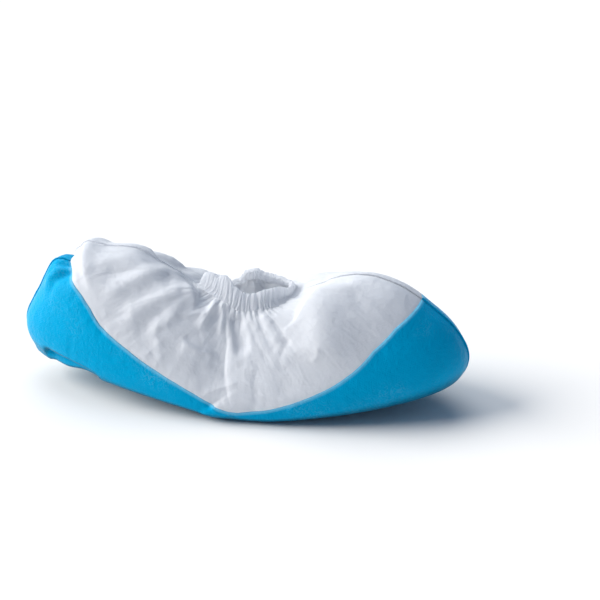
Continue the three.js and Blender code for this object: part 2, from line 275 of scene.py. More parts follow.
# Ruffles of the hem and the gathers under them. Pairs are the least and the most: a ruffle's width and its
# height at the rim and at the foot, and a gather's height and its length, which a power makes mostly short.
RUFFLE = {"width": (0.5, 1.7), "rim": (0.0, 1.4), "foot": (0.3, 1.3)}
RUFFLE_RING = 1.0  # the ring along which the ruffles are laid end to end
GATHER = {"height": (0.45, 1.15), "length": (0.35, 1.0), "short": 1.3}
PLEAT_POWER = 0.75  # under 1 makes ridges rounder and valleys tighter

# How the ruffles lean to and fro: waves around the mouth, how many ruffles far, which way over the casing
RUFFLE_LEAN = ((10, 0.22, 1), (18, 0.16, -1))
# Finer crimps on the ruffles: how many to a ruffle, how often they turn over the casing, share of the height
CRIMP = {"number": 1.75, "turns": 3, "share": 0.6}

# The hem's section: rings by which it laps over the cloth's edge, and the least ring that it reaches; how
# square it is along and across the sheet; its thickness at the middle and how much more it has at the rim;
# how much of a ruffle shows at the rim and foot, how much more at the sides, and how much lifts the rim
HEM = {
    "lap": 0.1,
    "least_ring": 0.05,
    "along": 0.8,
    "across": 0.7,
    "middle": 0.62,
    "taper": 0.38,
    "ruffle_ends": 0.45,
    "ruffle_sides": 0.55,
    "ruffle_lift": 0.35,
}

# How the sheets buckle as they grow: the share of growth, the frames run and the farthest move; how firmly
# the cloth and the film are held to the form, where 1 is fixed; the heights off the floor and the rows below
# the hem over which the hold eases, and the ease under which they are fixed; the film's share of the growth;
# and how much calmer the toe is than the rest, between two angles from its tip
GROWTH = {
    "share": 0.016,
    "frames": 12,
    "farthest": 4.0,
    "cloth_hold": 0.15,
    "film_hold": 0.5,
    "off_floor": (2, 12),
    "below_hem": (0, 6),
    "least_free": 0.01,
    "film_share": 0.35,
    "toe_angles": (50, 20),
    "toe_calm": 0.75,
}
SHEET_PHYSICS = {
    "quality": 5,
    "mass": 0.05,
    "tension_stiffness": 8.0,
    "compression_stiffness": 8.0,
    "shear_stiffness": 4.0,
    "bending_stiffness": 0.1,
    "tension_damping": 5,
    "compression_damping": 5,
    "shear_damping": 5,
    "bending_damping": 0.5,
    "air_damping": 2,
    "pin_stiffness": 1.0,
}

# The welds' section from one side to the other: shares of the half width, the height and the lean, and how
# far it is sunk into the sheet
WELD_SECTION = (
    (-1.0, 0.0, 0.0, 0.2),
    (-0.9, 0.8, 0.7, 0.0),
    (-0.3, 1.0, 1.0, 0.0),
    (0.3, 1.0, 1.0, 0.0),
    (0.9, 0.8, 0.7, 0.0),
    (1.0, 0.0, 0.0, 0.2),
)
# The welds' height at their ends, the rings over which they rise and die away, how uneven they are in height
# and how far they lean, and over how many rows the unevenness and the lean are evened out
WELD = {
    "least": 0.25,
    "rises": 0.5,
    "dies": 0.8,
    "uneven": 0.25,
    "lean": 0.35,
    "even_rows": 7,
    "lean_rows": 5,
}

# Mesh: the ring along which columns are evenly spaced, the fineness of that reckoning, and the sharp fold at
# the waist where the columns are closer together
EVEN_RING = 5
FINE_STEPS = 1440
WAIST_FOLD = {"angle": 92, "width": 3, "closer": 2}


def smoothstep(low, high, value):
    t = np.clip((value - low) / (high - low), 0, 1)
    return t * t * (3 - 2 * t)


def ring_value(name, ring):
    """A column of the ring table at any ring number, on a curve through its rows."""
    values = RINGS[name]
    at = np.clip(ring, 0, SPINE)
    i = np.minimum(np.floor(at).astype(int), SPINE - 1)
    f = at - i
    b, c = values[i], values[i + 1]
    a = np.where(i > 0, values[np.maximum(i - 1, 0)], 2 * b - c)
    d = np.where(i < SPINE - 1, values[np.minimum(i + 2, SPINE)], 2 * c - b)
    bend = (2 * a - 5 * b + 4 * c - d) * f**2 + (3 * b - a - 3 * c + d) * f**3
    return 0.5 * (2 * b + (c - a) * f + bend)


def wave(name, angle):
    """A column of the mouth wave by angle, easing from row to row."""
    rows = MOUTH_WAVE["angle"]
    a = np.mod(angle, 360)
    i = np.clip(np.searchsorted(rows, a, side="right") - 1, 0, len(rows) - 2)
    t = smoothstep(rows[i], rows[i + 1], a)
    return MOUTH_WAVE[name][i] * (1 - t) + MOUTH_WAVE[name][i + 1] * t


def film_edge(angle):
    """The ring of the film's upper edge at an angle."""
    a = np.mod(angle, 360)
    return np.interp(np.where(a < 180, 360 - a, a), FILM_EDGE["angle"], FILM_EDGE["ring"])


def curl(x):
    """How far the curl of the sole lifts the cover at this distance along it."""
    flat, rise, power = (np.where(x > 0, CURL["toe"][k], CURL["heel"][k]) for k in ("flat", "rise", "power"))
    return rise * np.maximum((np.abs(x) - flat) / (CURL["end"] - flat), 0) ** power


def plain_point(ring, angle):
    """The surface without its folds, in millimetres."""
    ring, angle = np.broadcast_arrays(np.asarray(ring, float), np.asarray(angle, float))
    c, s = np.cos(np.radians(angle)), np.sin(np.radians(angle))
    plan = 2 / ring_value("plan", ring)
    reach = np.where(c > 0, ring_value("toe", ring), ring_value("heel", ring))
    x = reach * np.sign(c) * np.abs(c) ** plan
    y = ring_value("half", ring) * np.sign(s) * np.abs(s) ** plan
    side = ring_value("z_side", ring)
    end = np.where(c > 0, ring_value("z_toe", ring), ring_value("z_heel", ring))
    z = side + (end - side) * np.abs(c) ** ring_value("climb", ring) + curl(x)
    share = np.maximum(1 - ring / WAVE_RINGS, 0) ** WAVE_POWER
    y = y * (1 - wave("pull", angle) * share)
    z = np.maximum(z, 0) + wave("lift", angle) * share
    return np.stack([x - MIDDLE, y, z], -1)


def outward(ring, angle):
    """The direction that points out of the plain surface."""
    small_ring, small_angle = 0.02, 0.6
    down = plain_point(ring + small_ring, angle) - plain_point(ring - small_ring, angle)
    around = plain_point(ring, angle + small_angle) - plain_point(ring, angle - small_angle)
    out = np.cross(down, around)
    return out / np.linalg.norm(out, axis=-1, keepdims=True)


def path_height(points, out, path, height, before, after, edge):
    """How far a fold along a path moves each point out."""
    reach = FOLD_REACH * max(before, after)
    near = np.all((points > path.min(0) - reach) & (points < path.max(0) + reach), axis=-1)
    moved = np.zeros(points.shape[:-1])
    p, n = points[near], out[near]
    if not len(p):
        return moved
    best = np.full(len(p), np.inf)
    along = np.zeros(len(p))
    side = np.zeros(len(p))
    steps = len(path) - 1
    for i in range(steps):
        step = path[i + 1] - path[i]
        t = np.clip((p - path[i]) @ step / (step @ step), 0, 1)
        away = p - path[i] - t[:, None] * step
        distance = np.linalg.norm(away, axis=1)
        closer = distance < best
        best[closer] = distance[closer]
        along[closer] = (i + t[closer]) / steps
        side[closer] = np.einsum("ij,ij->i", away[closer], np.cross(step, n[closer]))
    width = np.where(side > 0, before, after)
    ends = smoothstep(0, FOLD_ENDS[0], along) * smoothstep(0, FOLD_ENDS[1], 1 - along)
    moved[near] = np.where(best < FOLD_REACH * width, height * ends * np.exp(-((best / width) ** edge)), 0)
    return moved


def laid_path(a0, r0, a1, r1, a2, r2):
    """A fold's path laid on the surface through its three places."""
    t = np.linspace(0, 2, FOLD_STEPS + 1)
    return plain_point(np.interp(t, (0, 1, 2), (r0, r1, r2)), np.interp(t, (0, 1, 2), (a0, a1, a2)))


def main_folds(points, out):
    """The folds of the table together."""
    return sum(path_height(points, out, laid_path(*fold[:6]), *fold[6:]) for fold in FOLDS)


# -------------------------------------------------------------------------------------------------
# Settings
# -------------------------------------------------------------------------------------------------


class CoverShape(PropertyGroup):
    columns: IntProperty(name="Columns", description="Mesh columns around the cover", default=384, min=96)
    cloth_rows: IntProperty(
        name="Cloth rows", description="Mesh rows from the hem to the film", default=74, min=8
    )
    film_rows: IntProperty(
        name="Film rows", description="Mesh rows from the film's edge to the spine", default=54, min=8
    )
    hem_foot: FloatProperty(name="Hem foot", description="Ring where the casing ends", default=1.2)
    cloth_wall: FloatProperty(
        name="Cloth thickness", description="Thickness of the white sheet", default=0.3 * MM, unit="LENGTH"
    )
    film_wall: FloatProperty(
        name="Film thickness", description="Thickness of the blue sheet", default=0.12 * MM, unit="LENGTH"
    )
    gap: FloatProperty(
        name="Sheet gap", description="Space between film and cloth", default=0.03 * MM, unit="LENGTH"
    )
    ruffles: IntProperty(name="Ruffles", description="Gathers around the mouth", default=60, min=8)
    gather_height: FloatProperty(
        name="Gather height", description="How far a gather stands out", default=0.45 * MM, unit="LENGTH"
    )
    gather_reach: FloatProperty(
        name="Gather reach", description="Rings over which gathers die away", default=2.4
    )
    wrinkles: IntProperty(name="Wrinkles", description="Small chance wrinkles", default=150, min=0)
    wrinkle_height: FloatProperty(
        name="Wrinkle height", description="Largest small wrinkle", default=0.75 * MM, unit="LENGTH"
    )


class HemShape(PropertyGroup):
    bulge: FloatProperty(
        name="Bulge", description="How far the casing stands out", default=2.3 * MM, unit="LENGTH"
    )
    inside: FloatProperty(
        name="Inside", description="Depth of the casing inside the mouth", default=2.0 * MM, unit="LENGTH"
    )
    ruffle_height: FloatProperty(
        name="Ruffle height", description="How far each ruffle stands out", default=0.48 * MM, unit="LENGTH"
    )
    rim_wave: FloatProperty(
        name="Rim wave", description="Chance rise and fall of the rim", default=0.8 * MM, unit="LENGTH"
    )
    columns_per_ruffle: IntProperty(
        name="Columns", description="Mesh columns in one ruffle", default=14, min=6
    )
    section_rows: IntProperty(
        name="Section rows", description="Mesh rows around the casing", default=40, min=12
    )


class SeamShape(PropertyGroup):
    width: FloatProperty(
        name="Width", description="Thickness of the welded edge", default=0.9 * MM, unit="LENGTH"
    )
    height: FloatProperty(
        name="Height", description="How far the welded edge stands out", default=0.7 * MM, unit="LENGTH"
    )
    top: FloatProperty(name="Top", description="Ring where the weld starts below the hem", default=1.3)
    foot: FloatProperty(name="Foot", description="Ring where the weld ends under the sole", default=9.0)


class ClothFinish(PropertyGroup):
    colour: FloatVectorProperty(
        name="Colour",
        description="Colour of the white non-woven",
        subtype="COLOR",
        size=3,
        default=(0.94, 0.95, 0.97),
    )
    roughness: FloatProperty(
        name="Roughness", description="Roughness of the fibres", default=0.85, min=0, max=1, subtype="FACTOR"
    )
    bond_pitch: FloatProperty(
        name="Bond pitch", description="Distance between bond points", default=1.4 * MM, unit="LENGTH"
    )
    glow: FloatProperty(
        name="Glow", description="Share of light that passes the sheet", default=0.4, subtype="FACTOR"
    )
    hem_glow: FloatProperty(
        name="Hem glow", description="Share of light that passes the casing", default=0.6, subtype="FACTOR"
    )


class FilmFinish(PropertyGroup):
    colour: FloatVectorProperty(
        name="Colour",
        description="Colour of the blue film",
        subtype="COLOR",
        size=3,
        default=(0.0, 0.36, 0.64),
    )
    # Colour of the film's pale weld band, and also of the highlights painted on its finest ridges
    weld_and_glint_colour: FloatVectorProperty(
        name="Edge colour",
        description="Colour of the film along its weld and on its finest ridges",
        subtype="COLOR",
        size=3,
        default=(0.3, 0.68, 0.86),
    )
    roughness: FloatProperty(
        name="Roughness", description="Roughness of the film", default=0.38, min=0, max=1, subtype="FACTOR"
    )
    emboss_pitch: FloatProperty(
        name="Emboss pitch", description="Distance between embossed points", default=1.7 * MM, unit="LENGTH"
    )


class StudioSettings(PropertyGroup):
    azimuth: FloatProperty(
        name="Azimuth",
        description="Camera's angle round the cover",
        default=math.radians(11),
        subtype="ANGLE",
    )
    elevation: FloatProperty(
        name="Elevation",
        description="Camera's angle above the floor",
        default=math.radians(26),
        subtype="ANGLE",
    )
    distance: FloatProperty(name="Distance", description="Camera's distance", default=1.7, unit="LENGTH")
    lens: FloatProperty(name="Lens", description="Focal length in millimetres", default=141.3)
    aim_height: FloatProperty(
        name="Aim height", description="Height on the cover to aim at", default=45 * MM, unit="LENGTH"
    )
    aim_side: FloatProperty(
        name="Aim to the side", description="How far right of that to aim", default=38.3 * MM, unit="LENGTH"
    )
    aim_up: FloatProperty(
        name="Aim up", description="How far above that to aim", default=22.4 * MM, unit="LENGTH"
    )
    key_power: FloatProperty(name="Key light", description="Strength of the soft key light", default=4.0)
    key_softness: FloatProperty(
        name="Key softness",
        description="Angle that the key light fills",
        default=math.radians(46),
        subtype="ANGLE",
    )
    key_colour: FloatVectorProperty(
        name="Key colour",
        description="Colour of the key light",
        subtype="COLOR",
        size=3,
        default=(1.0, 0.985, 0.96),
    )
    key_from: FloatVectorProperty(
        name="Key from",
        description="Direction that the key light comes from",
        subtype="XYZ",
        size=3,
        default=(-0.84, -0.1, 0.54),
    )
    top_power: FloatProperty(
        name="Top light", description="Strength of the light from above and behind", default=1.3
    )
    top_softness: FloatProperty(
        name="Top softness",
        description="Angle that the top light fills",
        default=math.radians(50),
        subtype="ANGLE",
    )
    top_colour: FloatVectorProperty(
        name="Top colour",
        description="Colour of the top light",
        subtype="COLOR",
        size=3,
        default=(0.95, 0.98, 1.0),
    )
    top_from: FloatVectorProperty(
        name="Top from",
        description="Direction that the top light comes from",
        subtype="XYZ",
        size=3,
        default=(-0.25, 0.5, 0.83),
    )
    sky: FloatProperty(name="Surround", description="Strength of the pale surround", default=0.29)
    sky_colour: FloatVectorProperty(
        name="Surround colour",
        description="Colour of the pale surround",
        subtype="COLOR",
        size=3,
        default=(0.5, 0.68, 1.0),
    )
    floor_colour: FloatVectorProperty(
        name="Floor colour",
        description="Colour of the floor",
        subtype="COLOR",
        size=3,
        default=(0.93, 0.9, 0.86),
    )


# -------------------------------------------------------------------------------------------------
# The settled surface
# -------------------------------------------------------------------------------------------------


def column_angles(count):
    """Angles evenly spaced along the middle ring, closer at the waist's fold, the same on both sides."""
    angles = np.linspace(0, 180, FINE_STEPS + 1)
    lengths = np.linalg.norm(np.diff(plain_point(EVEN_RING, angles), axis=0), axis=1)
    from_waist = (angles[1:] - WAIST_FOLD["angle"]) / WAIST_FOLD["width"]
    lengths *= 1 + WAIST_FOLD["closer"] * np.exp(-(from_waist**2))
    along = np.concatenate([[0], np.cumsum(lengths)])
    half = np.interp(np.linspace(0, along[-1], count // 2 + 1), along, angles)
    return np.concatenate([half, 360 - half[-2:0:-1]])


@functools.cache
def ruffle_phase():
    """Angle to ruffle number: ruffles of chance widths laid end to end along the mouth."""
    shape = bpy.context.scene.cover_shape
    chance = np.random.default_rng(SEED)
    angles = np.linspace(0, 360, FINE_STEPS + 1)
    lengths = np.linalg.norm(np.diff(plain_point(RUFFLE_RING, angles), axis=0), axis=1)
    along = np.concatenate([[0], np.cumsum(lengths)]) / lengths.sum()
    widths = chance.uniform(*RUFFLE["width"], shape.ruffles)
    edges = np.concatenate([[0], np.cumsum(widths)]) / widths.sum()
    return angles, np.interp(along, edges, np.arange(shape.ruffles + 1))


def phase_of(angle):
    """The ruffle number at an angle, with how far along that ruffle it is."""
    angles, phases = ruffle_phase()
    return np.interp(np.mod(angle, 360), angles, phases)


def pleat(phase):
    """Round ridges and tight valleys, one for each whole number of the phase, from -1 to 1."""
    return 2 * np.abs(np.sin(np.pi * phase)) ** PLEAT_POWER - 1


def gathers(ring, angle):
    """The gathers under the hem. Each has a chance height and length; they die away down the cover."""
    shape = bpy.context.scene.cover_shape
    chance = np.random.default_rng(SEED + 1)
    phase = phase_of(angle)
    number = np.floor(phase).astype(int) % shape.ruffles
    height = chance.uniform(*GATHER["height"], shape.ruffles)
    length = chance.uniform(*GATHER["length"], shape.ruffles) ** GATHER["short"] * shape.gather_reach
    blend = smoothstep(0, 1, phase - np.floor(phase))
    after = (number + 1) % shape.ruffles
    h = height[number] * (1 - blend) + height[after] * blend
    reach = length[number] * (1 - blend) + length[after] * blend
    share = 1 - smoothstep(0, 1, np.maximum(ring - shape.hem_foot, 0) / reach)
    return shape.gather_height / MM * h * share * pleat(phase)


def small_wrinkles(points, out):
    """Chance wrinkles that run down from the mouth, smoother on the toe lobe."""
    shape = bpy.context.scene.cover_shape
    chance = np.random.default_rng(SEED + 2)
    moved = np.zeros(points.shape[:-1])
    for _ in range(shape.wrinkles):
        angle = chance.uniform(0, 360)
        edge = float(film_edge(angle))
        start = chance.uniform(WRINKLE["first_ring"], edge - WRINKLE["above_film"])
        length = chance.uniform(*WRINKLE["length"])
        drift = chance.normal(0, WRINKLE["drift"]) * length
        bend = chance.normal(0, WRINKLE["bend"])
        side = 1 if chance.random() < 0.5 else -1
        height = side * chance.uniform(*WRINKLE["height"]) * shape.wrinkle_height / MM
        height *= WRINKLE["toe_share"] if abs((angle + 180) % 360 - 180) < WRINKLE["toe_lobe"] else 1.0
        width = chance.uniform(*WRINKLE["width"])
        path = laid_path(
            a0=angle,
            r0=start,
            a1=angle + drift / 2 + bend,
            r1=start + length / 2,
            a2=angle + drift,
            r2=min(start + length, edge + WRINKLE["past_film_edge"]),
        )
        other_side = width * chance.uniform(*WRINKLE["other_side"])
        sharpness = chance.uniform(*WRINKLE["edge"])
        moved += path_height(points, out, path, height, width, other_side, sharpness)
    return moved


def weigh(sheet, name, number, weights):
    """Give a sheet's points, numbered in a grid, their weights in a new vertex group."""
    group = sheet.vertex_groups.new(name=name)
    rounded = np.round(weights, 2)
    for weight in np.unique(rounded):
        group.add(number[np.isclose(rounded, weight)].ravel().tolist(), float(weight), "REPLACE")


def run_cloth(sheet):
    """Run the cloth simulation on a sheet with weights for its hold and its growth; give its points."""
    cloth = sheet.modifiers.new("cloth", "CLOTH")
    for name, value in SHEET_PHYSICS.items():
        setattr(cloth.settings, name, value)
    cloth.settings.vertex_group_mass = "held"
    cloth.settings.vertex_group_shrink = "swell"
    cloth.settings.shrink_min = 0
    cloth.settings.shrink_max = -GROWTH["share"]
    cloth.settings.effector_weights.gravity = 0
    cloth.collision_settings.use_collision = False
    cloth.point_cache.frame_end = GROWTH["frames"]
    for time in range(1, GROWTH["frames"] + 1):
        bpy.context.scene.frame_set(time)
    evaluated = sheet.evaluated_get(bpy.context.evaluated_depsgraph_get())
    places = np.zeros(len(sheet.data.vertices) * 3)
    evaluated.data.vertices.foreach_get("co", places)
    bpy.data.objects.remove(sheet)
    bpy.context.scene.frame_set(1)
    return places


def grow(points, angle):
    """Let the cloth grow a little and buckle against its form, as thin non-woven does once handled."""
    rows, columns = points.shape[:2]
    number = np.arange(rows * columns).reshape(rows, columns)
    faces = []
    for i in range(rows - 1):
        faces += band_faces(number[i], number[i + 1])
    mesh = bpy.data.meshes.new("growing")
    mesh.from_pydata((points.reshape(-1, 3) * MM).tolist(), [], faces)
    sheet = bpy.data.objects.new("growing", mesh)
    bpy.context.scene.collection.objects.link(sheet)
    row = np.arange(rows)[:, None] * np.ones((1, columns))
    film = row > bpy.context.scene.cover_shape.cloth_rows
    free = smoothstep(*GROWTH["off_floor"], points[..., 2]) * smoothstep(*GROWTH["below_hem"], row)
    firm = np.where(film, GROWTH["film_hold"], GROWTH["cloth_hold"])
    hold = np.where(free > GROWTH["least_free"], firm, 1.0)
    weigh(sheet, "held", number, hold + (1 - hold) * (1 - free))
    near_toe = smoothstep(*GROWTH["toe_angles"], np.abs((angle + 180) % 360 - 180))
    swell = np.where(film, GROWTH["film_share"], 1.0) * (1 - GROWTH["toe_calm"] * near_toe)
    weigh(sheet, "swell", number, swell)
    moved = run_cloth(sheet).reshape(points.shape) / MM - points
    length = np.linalg.norm(moved, axis=-1, keepdims=True)
    return points + moved * np.minimum(1, GROWTH["farthest"] / np.maximum(length, TINY))


@functools.cache
def settled_surface():
    """The angle of each column, the ring of each row and column, and the settled points in millimetres."""
    shape = bpy.context.scene.cover_shape
    angle = column_angles(shape.columns)
    edge = film_edge(angle)
    down = np.linspace(0, 1, shape.cloth_rows + 1)[:, None]
    below = np.linspace(0, 1, shape.film_rows + 1)[1:, None]
    visible = edge + (SOLE_EDGE - edge) * np.minimum(below / SIDE_ROWS, 1)
    hidden = (SPINE - SOLE_EDGE) * np.maximum(below - SIDE_ROWS, 0) / (1 - SIDE_ROWS)
    ring = np.concatenate([shape.hem_foot + (edge - shape.hem_foot) * down, visible + hidden])
    around = np.broadcast_to(angle, ring.shape)
    points = plain_point(ring, around)
    out = outward(ring, around)
    rest = smoothstep(*REST, points[..., 2])
    moved = rest * (main_folds(points, out) + gathers(ring, around) + small_wrinkles(points, out))
    points = points + out * moved[..., None]
    points = grow(points, angle)
    return angle, ring, points


def surface_normals(points):
    """Outward directions of a grid of points that closes around."""
    around = np.roll(points, -1, axis=1) - np.roll(points, 1, axis=1)
    down = np.gradient(points, axis=0)
    out = np.cross(down, around)
    return out / np.maximum(np.linalg.norm(out, axis=-1, keepdims=True), TINY)


# -------------------------------------------------------------------------------------------------
# Meshes
# -------------------------------------------------------------------------------------------------


def band_faces(first, second, turned=False):
    """Quads between an upper and a lower loop of vertex numbers, facing out of the cover unless turned."""
    a, b, c, d = first, np.roll(first, -1), np.roll(second, -1), second
    return np.stack([b, c, d, a] if turned else [a, d, c, b], -1).tolist()


def floor_faces(loop, turned=False):
    """Strips across the flat floor inside a loop, facing down unless turned."""
    half = len(loop) // 2
    faces = []
    for j in range(half):
        p, q = loop[j], loop[-j % len(loop)]
        p_next, q_next = loop[j + 1], loop[-(j + 1) % len(loop)]
        face = list(dict.fromkeys(int(v) for v in (p, q, q_next, p_next)))  # a triangle at each end
        faces.append(face[::-1] if turned else face)
    return faces


def new_piece(name, points, faces, runs, materials, face_material=None):
    """A mesh object from points in millimetres, smooth shaded, riding on the root body."""
    mesh = bpy.data.meshes.new(name)
    mesh.from_pydata((points * MM).tolist(), [], faces)
    mesh.polygons.foreach_set("use_smooth", [True] * len(mesh.polygons))
    layer = mesh.uv_layers.new(name="cloth_run")
    corners = np.zeros(len(mesh.loops), int)
    mesh.loops.foreach_get("vertex_index", corners)
    layer.data.foreach_set("uv", (runs[corners] * MM).ravel())
    for material in materials:
        mesh.materials.append(material)
    if face_material is not None:
        mesh.polygons.foreach_set("material_index", face_material)
    mesh.validate()
    piece = bpy.data.objects.new(name, mesh)
    bpy.context.scene.collection.objects.link(piece)
    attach(piece, "root")
    return piece


def bag_mesh(outer, inner):
    """Points and faces of a bag: an outer and an inner skin joined at the top, each closed at the sole."""
    rows, columns = outer.shape[:2]
    points = np.concatenate([outer.reshape(-1, 3), inner.reshape(-1, 3)])
    number = np.arange(2 * rows * columns).reshape(2, rows, columns)
    faces = []
    for i in range(rows - 1):
        faces += band_faces(number[0, i], number[0, i + 1])
        faces += band_faces(number[1, i], number[1, i + 1], turned=True)
    faces += band_faces(number[1, 0], number[0, 0])
    faces += floor_faces(number[0, -1])
    faces += floor_faces(number[1, -1], turned=True)
    return points, faces


def run_lengths(points):
    """How far each point of a grid lies around and down the cover, in millimetres, for the finishes."""
    widest = np.linalg.norm(np.roll(points, -1, axis=1) - points, axis=-1).max(0)
    around = np.concatenate([[0], np.cumsum(widest)[:-1]])
    down = np.linalg.norm(np.diff(points, axis=0), axis=-1)
    down = np.concatenate([np.zeros((1, points.shape[1])), np.cumsum(down, axis=0)])
    return np.stack([np.broadcast_to(around, down.shape), down], -1).reshape(-1, 2)


# -------------------------------------------------------------------------------------------------
# Finishes
# -------------------------------------------------------------------------------------------------

# Marks in the sheets: the scale of their pattern, finer when higher, and their depth in metres
Mark = namedtuple("Mark", "scale depth")
CLOTH_MARKS = {
    "fibres": Mark(1400.0, 0.06 * MM),
    "drawn_creases": Mark(55.0, 0.4 * MM),
    "creases": Mark(45.0, 0.25 * MM),
    "small_creases": Mark(130.0, 0.2 * MM),
}
FILM_MARKS = {
    "grain": Mark(900.0, 0.08 * MM),
    "crinkles": Mark(330.0, 0.35 * MM),
    "creases": Mark(90.0, 0.3 * MM),
    "swells": Mark(60.0, 0.5 * MM),
}
BOND_DEPTH = 0.05 * MM
EMBOSS_DEPTH = 0.07 * MM
DRAWN = (1, 0.4, 0)  # the drawn creases are longer down the cover than around it
CLOUD_SCALE = 90.0  # patches of slightly thinner and thicker cloth
CLOTH_TINT = (0.95, 1.03)  # the cloth's darkest and lightest patches, as shares of its colour
FILM_TINT = (0.93, 1.06)
# The pale band along the film's weld: distances below its edge over which it dies away, and how pale it is
WELD_BAND = {"near": 0.8 * MM, "far": 3.2 * MM, "share": 0.55}
# Painted shade: the film is darker where it faces down, standing in for the shade under the sole: how far
# down the darkening starts and ends, its share, its shade
UNDERSIDE_PAINTED_SHADE = {"starts": -0.2, "ends": -0.6, "share": 0.75, "shade": 0.3}
# Painted highlights: pale glints on chance ridges in some patches of the film: scale and range of the ridges
# and of the patches
PAINTED_GLINTS = {"scale": 360.0, "ridges": (0.8, 1.0), "patch_scale": 26.0, "patches": (0.5, 0.68), "share": 0.16}
# Where the crinkles are deep: scale of the patches, the most that one gives, and how soft that limit is
CRINKLED = {"scale": 45.0, "most": 0.6, "soft": 0.1}


class Nodes:
    """A short way to make and join shader nodes."""

    def __init__(self, name):
        self.material = bpy.data.materials.new(name)
        self.material.use_nodes = True
        self.tree = self.material.node_tree
        self.tree.nodes.clear()

    def add(self, kind, inputs=None, **settings):
        node = self.tree.nodes.new(kind)
        for key, value in settings.items():
            setattr(node, key, value)
        for key, value in (inputs or {}).items():
            if isinstance(value, bpy.types.NodeSocket):
                self.tree.links.new(value, node.inputs[key])
            else:
                node.inputs[key].default_value = value
        return node

    def math(self, operation, a, b=0.0, c=0.0):
        return self.add("ShaderNodeMath", {0: a, 1: b, 2: c}, operation=operation).outputs[0]

    def spread(self, value, low, high, first, last):
        """A value between low and high mapped to between first and last, and held past them."""
        inputs = {0: value, 1: low, 2: high, 3: first, 4: last}
        return self.add("ShaderNodeMapRange", inputs).outputs[0]

    def noise(self, where, scale, detail=3.0, rough=0.5):
        inputs = {"Vector": where, "Scale": scale, "Detail": detail, "Roughness": rough}
        return self.add("ShaderNodeTexNoise", inputs).outputs["Fac"]

    def creases(self, where, scale):
        """Sharp chance ridges, as in handled sheet: highest where the noise crosses its middle."""
        cloudy = self.noise(where, scale, detail=2.0, rough=0.5)
        from_middle = self.math("ABSOLUTE", self.math("MULTIPLY_ADD", cloudy, 4.0, -2.0))
        return self.math("SUBTRACT", 1.0, from_middle)

    def tint(self, factor, colour, shares):
        """A colour from its darkest share to its lightest."""
        ramp = self.add("ShaderNodeValToRGB", {"Fac": factor})
        for element, share in zip(ramp.color_ramp.elements, shares):
            element.color = (*scaled(colour, share), 1)
        return ramp.outputs["Color"]

    def mix(self, factor, first, second):
        """A colour that goes from the first to the second, a plain colour."""
        node = self.add("ShaderNodeMix", data_type="RGBA")
        self.tree.links.new(factor, node.inputs[0])
        self.tree.links.new(first, node.inputs[6])
        node.inputs[7].default_value = (*second, 1)
        return node.outputs[2]

    def bump(self, height, depth, normal=None):
        inputs = {"Height": height, "Distance": depth, "Strength": 1.0}
        if normal is not None:
            inputs["Normal"] = normal
        return self.add("ShaderNodeBump", inputs).outputs["Normal"]

    def scale(self, vector, factors):
        return self.add("ShaderNodeVectorMath", {0: vector, 1: factors}, operation="MULTIPLY").outputs[0]

    def dots(self, run, pitch, squash=0.6):
        """A staggered grid of small raised points along the sheet."""
        split = self.add("ShaderNodeSeparateXYZ", {0: self.scale(run, (1 / pitch, squash / pitch, 0))})
        waves = []
        for operation in ("ADD", "SUBTRACT"):
            slanted = self.math(operation, split.outputs[0], split.outputs[1])
            waves.append(self.math("SINE", self.math("MULTIPLY", slanted, math.pi)))
        return self.math("POWER", self.math("ABSOLUTE", self.math("MULTIPLY", *waves)), 2.0)

    def finish(self, shader):
        self.add("ShaderNodeOutputMaterial", {"Surface": shader})
        return self.material


def scaled(colour, factor):
    return tuple(min(c * factor, 1.0) for c in colour)


@functools.cache
def non_woven(name, glow):
    """White spun-bonded cloth: cloudy fibres, bond points, and some light let through."""
    finish = bpy.context.scene.cloth_finish
    n = Nodes(name)
    run = n.add("ShaderNodeUVMap", uv_map="cloth_run").outputs[0]
    place = n.add("ShaderNodeTexCoord").outputs["Object"]
    colour = n.tint(n.noise(place, CLOUD_SCALE, detail=4.0, rough=0.6), finish.colour, CLOTH_TINT)
    normal = n.bump(n.dots(run, finish.bond_pitch), BOND_DEPTH)
    mark = CLOTH_MARKS["fibres"]
    normal = n.bump(n.noise(place, mark.scale, detail=2.0, rough=0.7), mark.depth, normal)
    drawn = n.scale(run, DRAWN)
    for where, kind in ((drawn, "drawn_creases"), (place, "creases"), (place, "small_creases")):
        mark = CLOTH_MARKS[kind]
        normal = n.bump(n.creases(where, mark.scale), mark.depth, normal)
    surface = n.add(
        "ShaderNodeBsdfPrincipled",
        {
            "Base Color": colour,
            "Roughness": finish.roughness,
            "Specular IOR Level": 0.25,
            "Sheen Weight": 0.15,
            "Normal": normal,
        },
    )
    through = n.add("ShaderNodeBsdfTranslucent", {"Color": colour, "Normal": normal})
    mixed = n.add("ShaderNodeMixShader", {0: glow, 1: surface.outputs[0], 2: through.outputs[0]})
    return n.finish(mixed.outputs[0])


def bag_cloth():
    return non_woven("white_non_woven", bpy.context.scene.cloth_finish.glow)


def hem_cloth():
    return non_woven("gathered_non_woven", bpy.context.scene.cloth_finish.hem_glow)


